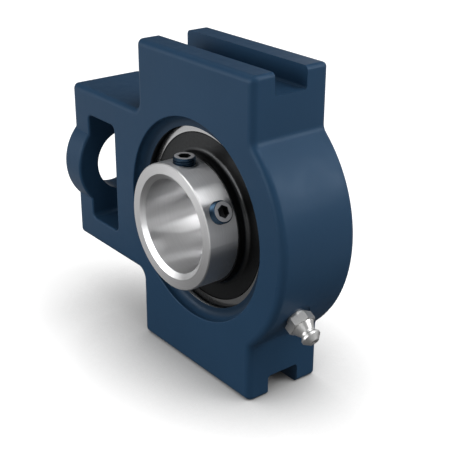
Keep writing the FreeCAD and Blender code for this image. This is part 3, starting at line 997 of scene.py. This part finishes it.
@dataclass
class Studio:
    """White floor, white surroundings and soft lamps.

    The camera and anything seen through glass get a white floor that keeps the part's
    contact shadow. Gloss gets the floor as a pool of light, dim near the part and brighter
    further off, and a dim sky, so that the paint stays deep and the steel has contrast.
    """

    floor_z: float = -0.05175
    floor_reach: float = 4.0
    floor_colour: str = "#949494"
    floor_roughness: float = 0.9
    shadow_reach: float = 0.05
    shadow_depth: float = 2.0
    pool_strength: tuple[float, float] = (0.08, 0.5)
    pool_radius: tuple[float, float] = (0.07, 0.17)
    fill: float = 0.04
    mirrored_sky: float = 0.06
    lamps: Sequence[Softbox] = (
        Softbox("low_left_front", 330, 8, 3.8),
        Softbox("right_back", 130, 25, 4.8),
        Softbox("low_front", 0, 8, 3.2),
        Softbox("high_right", 90, 60, 3.2),
        Softbox("high_right_back", 135, 60, 2.9),
        Softbox("front", 345, 35, 1.8),
        Softbox("low_back_left", 210, 8, 1.8),
        Softbox("low_right", 60, 8, 0.8),
        Softbox("low_left", 311, 16, 0.9),
        Softbox("low_right_back", 115, 8, 0.8),
        Softbox("back", 165, 35, 0.8),
        Softbox("high_left", 270, 60, 0.6),
        Softbox("top", 0, 88, 0.4),
    )

    def floor(self) -> None:
        """Lay the floor under the lower rails."""
        bm = bmesh.new()
        bmesh.ops.create_grid(bm, x_segments=1, y_segments=1, size=self.floor_reach)
        bmesh.ops.translate(bm, verts=bm.verts, vec=(0.0, 0.0, self.floor_z))
        mesh = bpy.data.meshes.new("floor")
        bm.to_mesh(mesh)
        bm.free()
        ground = bpy.data.objects.new("floor", mesh)
        bpy.context.scene.collection.objects.link(ground)
        ground.data.materials.append(self.floor_finish())

    def contact_glow(self, s: Shader, path: bpy.types.Node) -> bpy.types.NodeSocket:
        """Make the floor glow to the camera, and less where the part is close above it.

        Args:
            s: The floor's shader.
            path: Its Light Path node.

        Returns:
            The strength of the glow.
        """
        seen = add(
            s.tree,
            "ShaderNodeMath",
            {0: path.outputs["Is Camera Ray"], 1: path.outputs["Is Transmission Ray"]},
            operation="MAXIMUM",
        )
        open_above = add(s.tree, "ShaderNodeAmbientOcclusion", {"Distance": self.shadow_reach})
        shade = add(
            s.tree,
            "ShaderNodeMath",
            {0: open_above.outputs["AO"], 1: self.shadow_depth},
            operation="POWER",
        )
        return add(
            s.tree,
            "ShaderNodeMath",
            {0: seen.outputs[0], 1: shade.outputs[0]},
            operation="MULTIPLY",
        ).outputs[0]

    def pool(self, s: Shader) -> bpy.types.NodeSocket:
        """Draw the pool of light that gloss sees in the floor.

        Args:
            s: The floor's shader.

        Returns:
            A shader of light alone.
        """
        level = add(
            s.tree, "ShaderNodeVectorMath", {0: s.place, 1: (1.0, 1.0, 0.0)}, operation="MULTIPLY"
        )
        away = add(s.tree, "ShaderNodeVectorMath", {0: level.outputs[0]}, operation="LENGTH")
        strength = add(
            s.tree,
            "ShaderNodeMapRange",
            {
                "Value": away.outputs["Value"],
                "From Min": self.pool_radius[0],
                "From Max": self.pool_radius[1],
                "To Min": self.pool_strength[0],
                "To Max": self.pool_strength[1],
            },
            interpolation_type="SMOOTHSTEP",
        )
        light = add(s.tree, "ShaderNodeEmission", {"Strength": strength.outputs["Result"]})
        return light.outputs[0]

    def floor_finish(self) -> bpy.types.Material:
        """Make the floor's matt white.

        Returns:
            The material.
        """
        s = Shader("white_studio_floor")
        s.constants(
            Base_Color=linear(self.floor_colour),
            Roughness=self.floor_roughness,
            Specular_IOR_Level=0.0,
            Emission_Color=WHITE,
        )
        path = add(s.tree, "ShaderNodeLightPath")
        s.feed("Emission Strength", self.contact_glow(s, path))
        choose = add(
            s.tree,
            "ShaderNodeMixShader",
            {0: path.outputs["Is Glossy Ray"], 1: s.surface.outputs[0], 2: self.pool(s)},
        )
        target = next(n for n in s.tree.nodes if n.type == "OUTPUT_MATERIAL")
        s.tree.links.new(choose.outputs[0], target.inputs["Surface"])
        return s.material

    def surroundings(self) -> None:
        """Make the world white to the camera and through glass, dim in gloss, and a fill."""
        world = bpy.data.worlds.new("studio")
        world.use_nodes = True
        tree = world.node_tree
        tree.nodes.clear()
        path = add(tree, "ShaderNodeLightPath")
        seen = add(
            tree,
            "ShaderNodeMath",
            {0: path.outputs["Is Camera Ray"], 1: path.outputs["Is Transmission Ray"]},
            operation="MAXIMUM",
        )
        level = add(
            tree,
            "ShaderNodeMapRange",
            {"Value": seen.outputs[0], "To Min": self.fill, "To Max": 1.0},
        )
        mirrored = add(
            tree,
            "ShaderNodeMath",
            {0: path.outputs["Is Glossy Ray"], 1: self.mirrored_sky},
            operation="MULTIPLY",
        )
        total = add(
            tree,
            "ShaderNodeMath",
            {0: level.outputs["Result"], 1: mirrored.outputs[0]},
            operation="ADD",
        )
        back = add(
            tree, "ShaderNodeBackground", {"Color": WHITE, "Strength": total.outputs[0]}
        )
        add(tree, "ShaderNodeOutputWorld", {"Surface": back.outputs[0]})
        bpy.context.scene.world = world

    def build(self) -> None:
        """Set the stage and its light."""
        self.floor()
        self.surroundings()
        for lamp in self.lamps:
            lamp.build()
        bpy.context.scene.view_settings.view_transform = "Standard"


@dataclass
class Viewpoint:
    """The photograph's camera, given round the bearing centre."""

    azimuth_deg: float = 51.941
    elevation_deg: float = 23.77
    roll_deg: float = 0.157
    right_mm: float = -0.697
    up_mm: float = -4.732
    distance_mm: float = 318.2
    focal_share: float = 1003.229 / 450
    sensor_mm: float = 36.0
    clip: tuple[float, float] = (0.01, 50.0)

    def build(self) -> None:
        """Place the camera and make it the scene's own."""
        a = math.radians(self.azimuth_deg)
        back = direction(self.azimuth_deg, self.elevation_deg)
        right = Vector((math.cos(a), math.sin(a), 0.0))
        up = back.cross(right)
        turn = Matrix((right, up, back)).transposed()
        turn = turn @ Matrix.Rotation(math.radians(self.roll_deg), 3, "Z")
        data = bpy.data.cameras.new("photo_view")
        data.sensor_width = self.sensor_mm
        data.lens = self.sensor_mm * self.focal_share
        data.clip_start, data.clip_end = self.clip
        camera = bpy.data.objects.new("photo_view", data)
        place = turn @ Vector((self.right_mm, self.up_mm, self.distance_mm)) * MM
        camera.matrix_world = Matrix.Translation(place) @ turn.to_4x4()
        bpy.context.scene.collection.objects.link(camera)
        bpy.context.scene.camera = camera


def main() -> None:
    """Dress the unit, set the studio and report each piece."""
    logging.basicConfig(level=logging.INFO, format="%(name)s: %(message)s")
    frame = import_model()
    nodes = frame["nodes"]
    Viewpoint().build()
    Studio().build()
    Housing().dress(nodes)
    Insert().dress(nodes)
    GreaseNipple().dress(nodes)
    LockScrews().build()


if __name__ == "__main__":
    main()
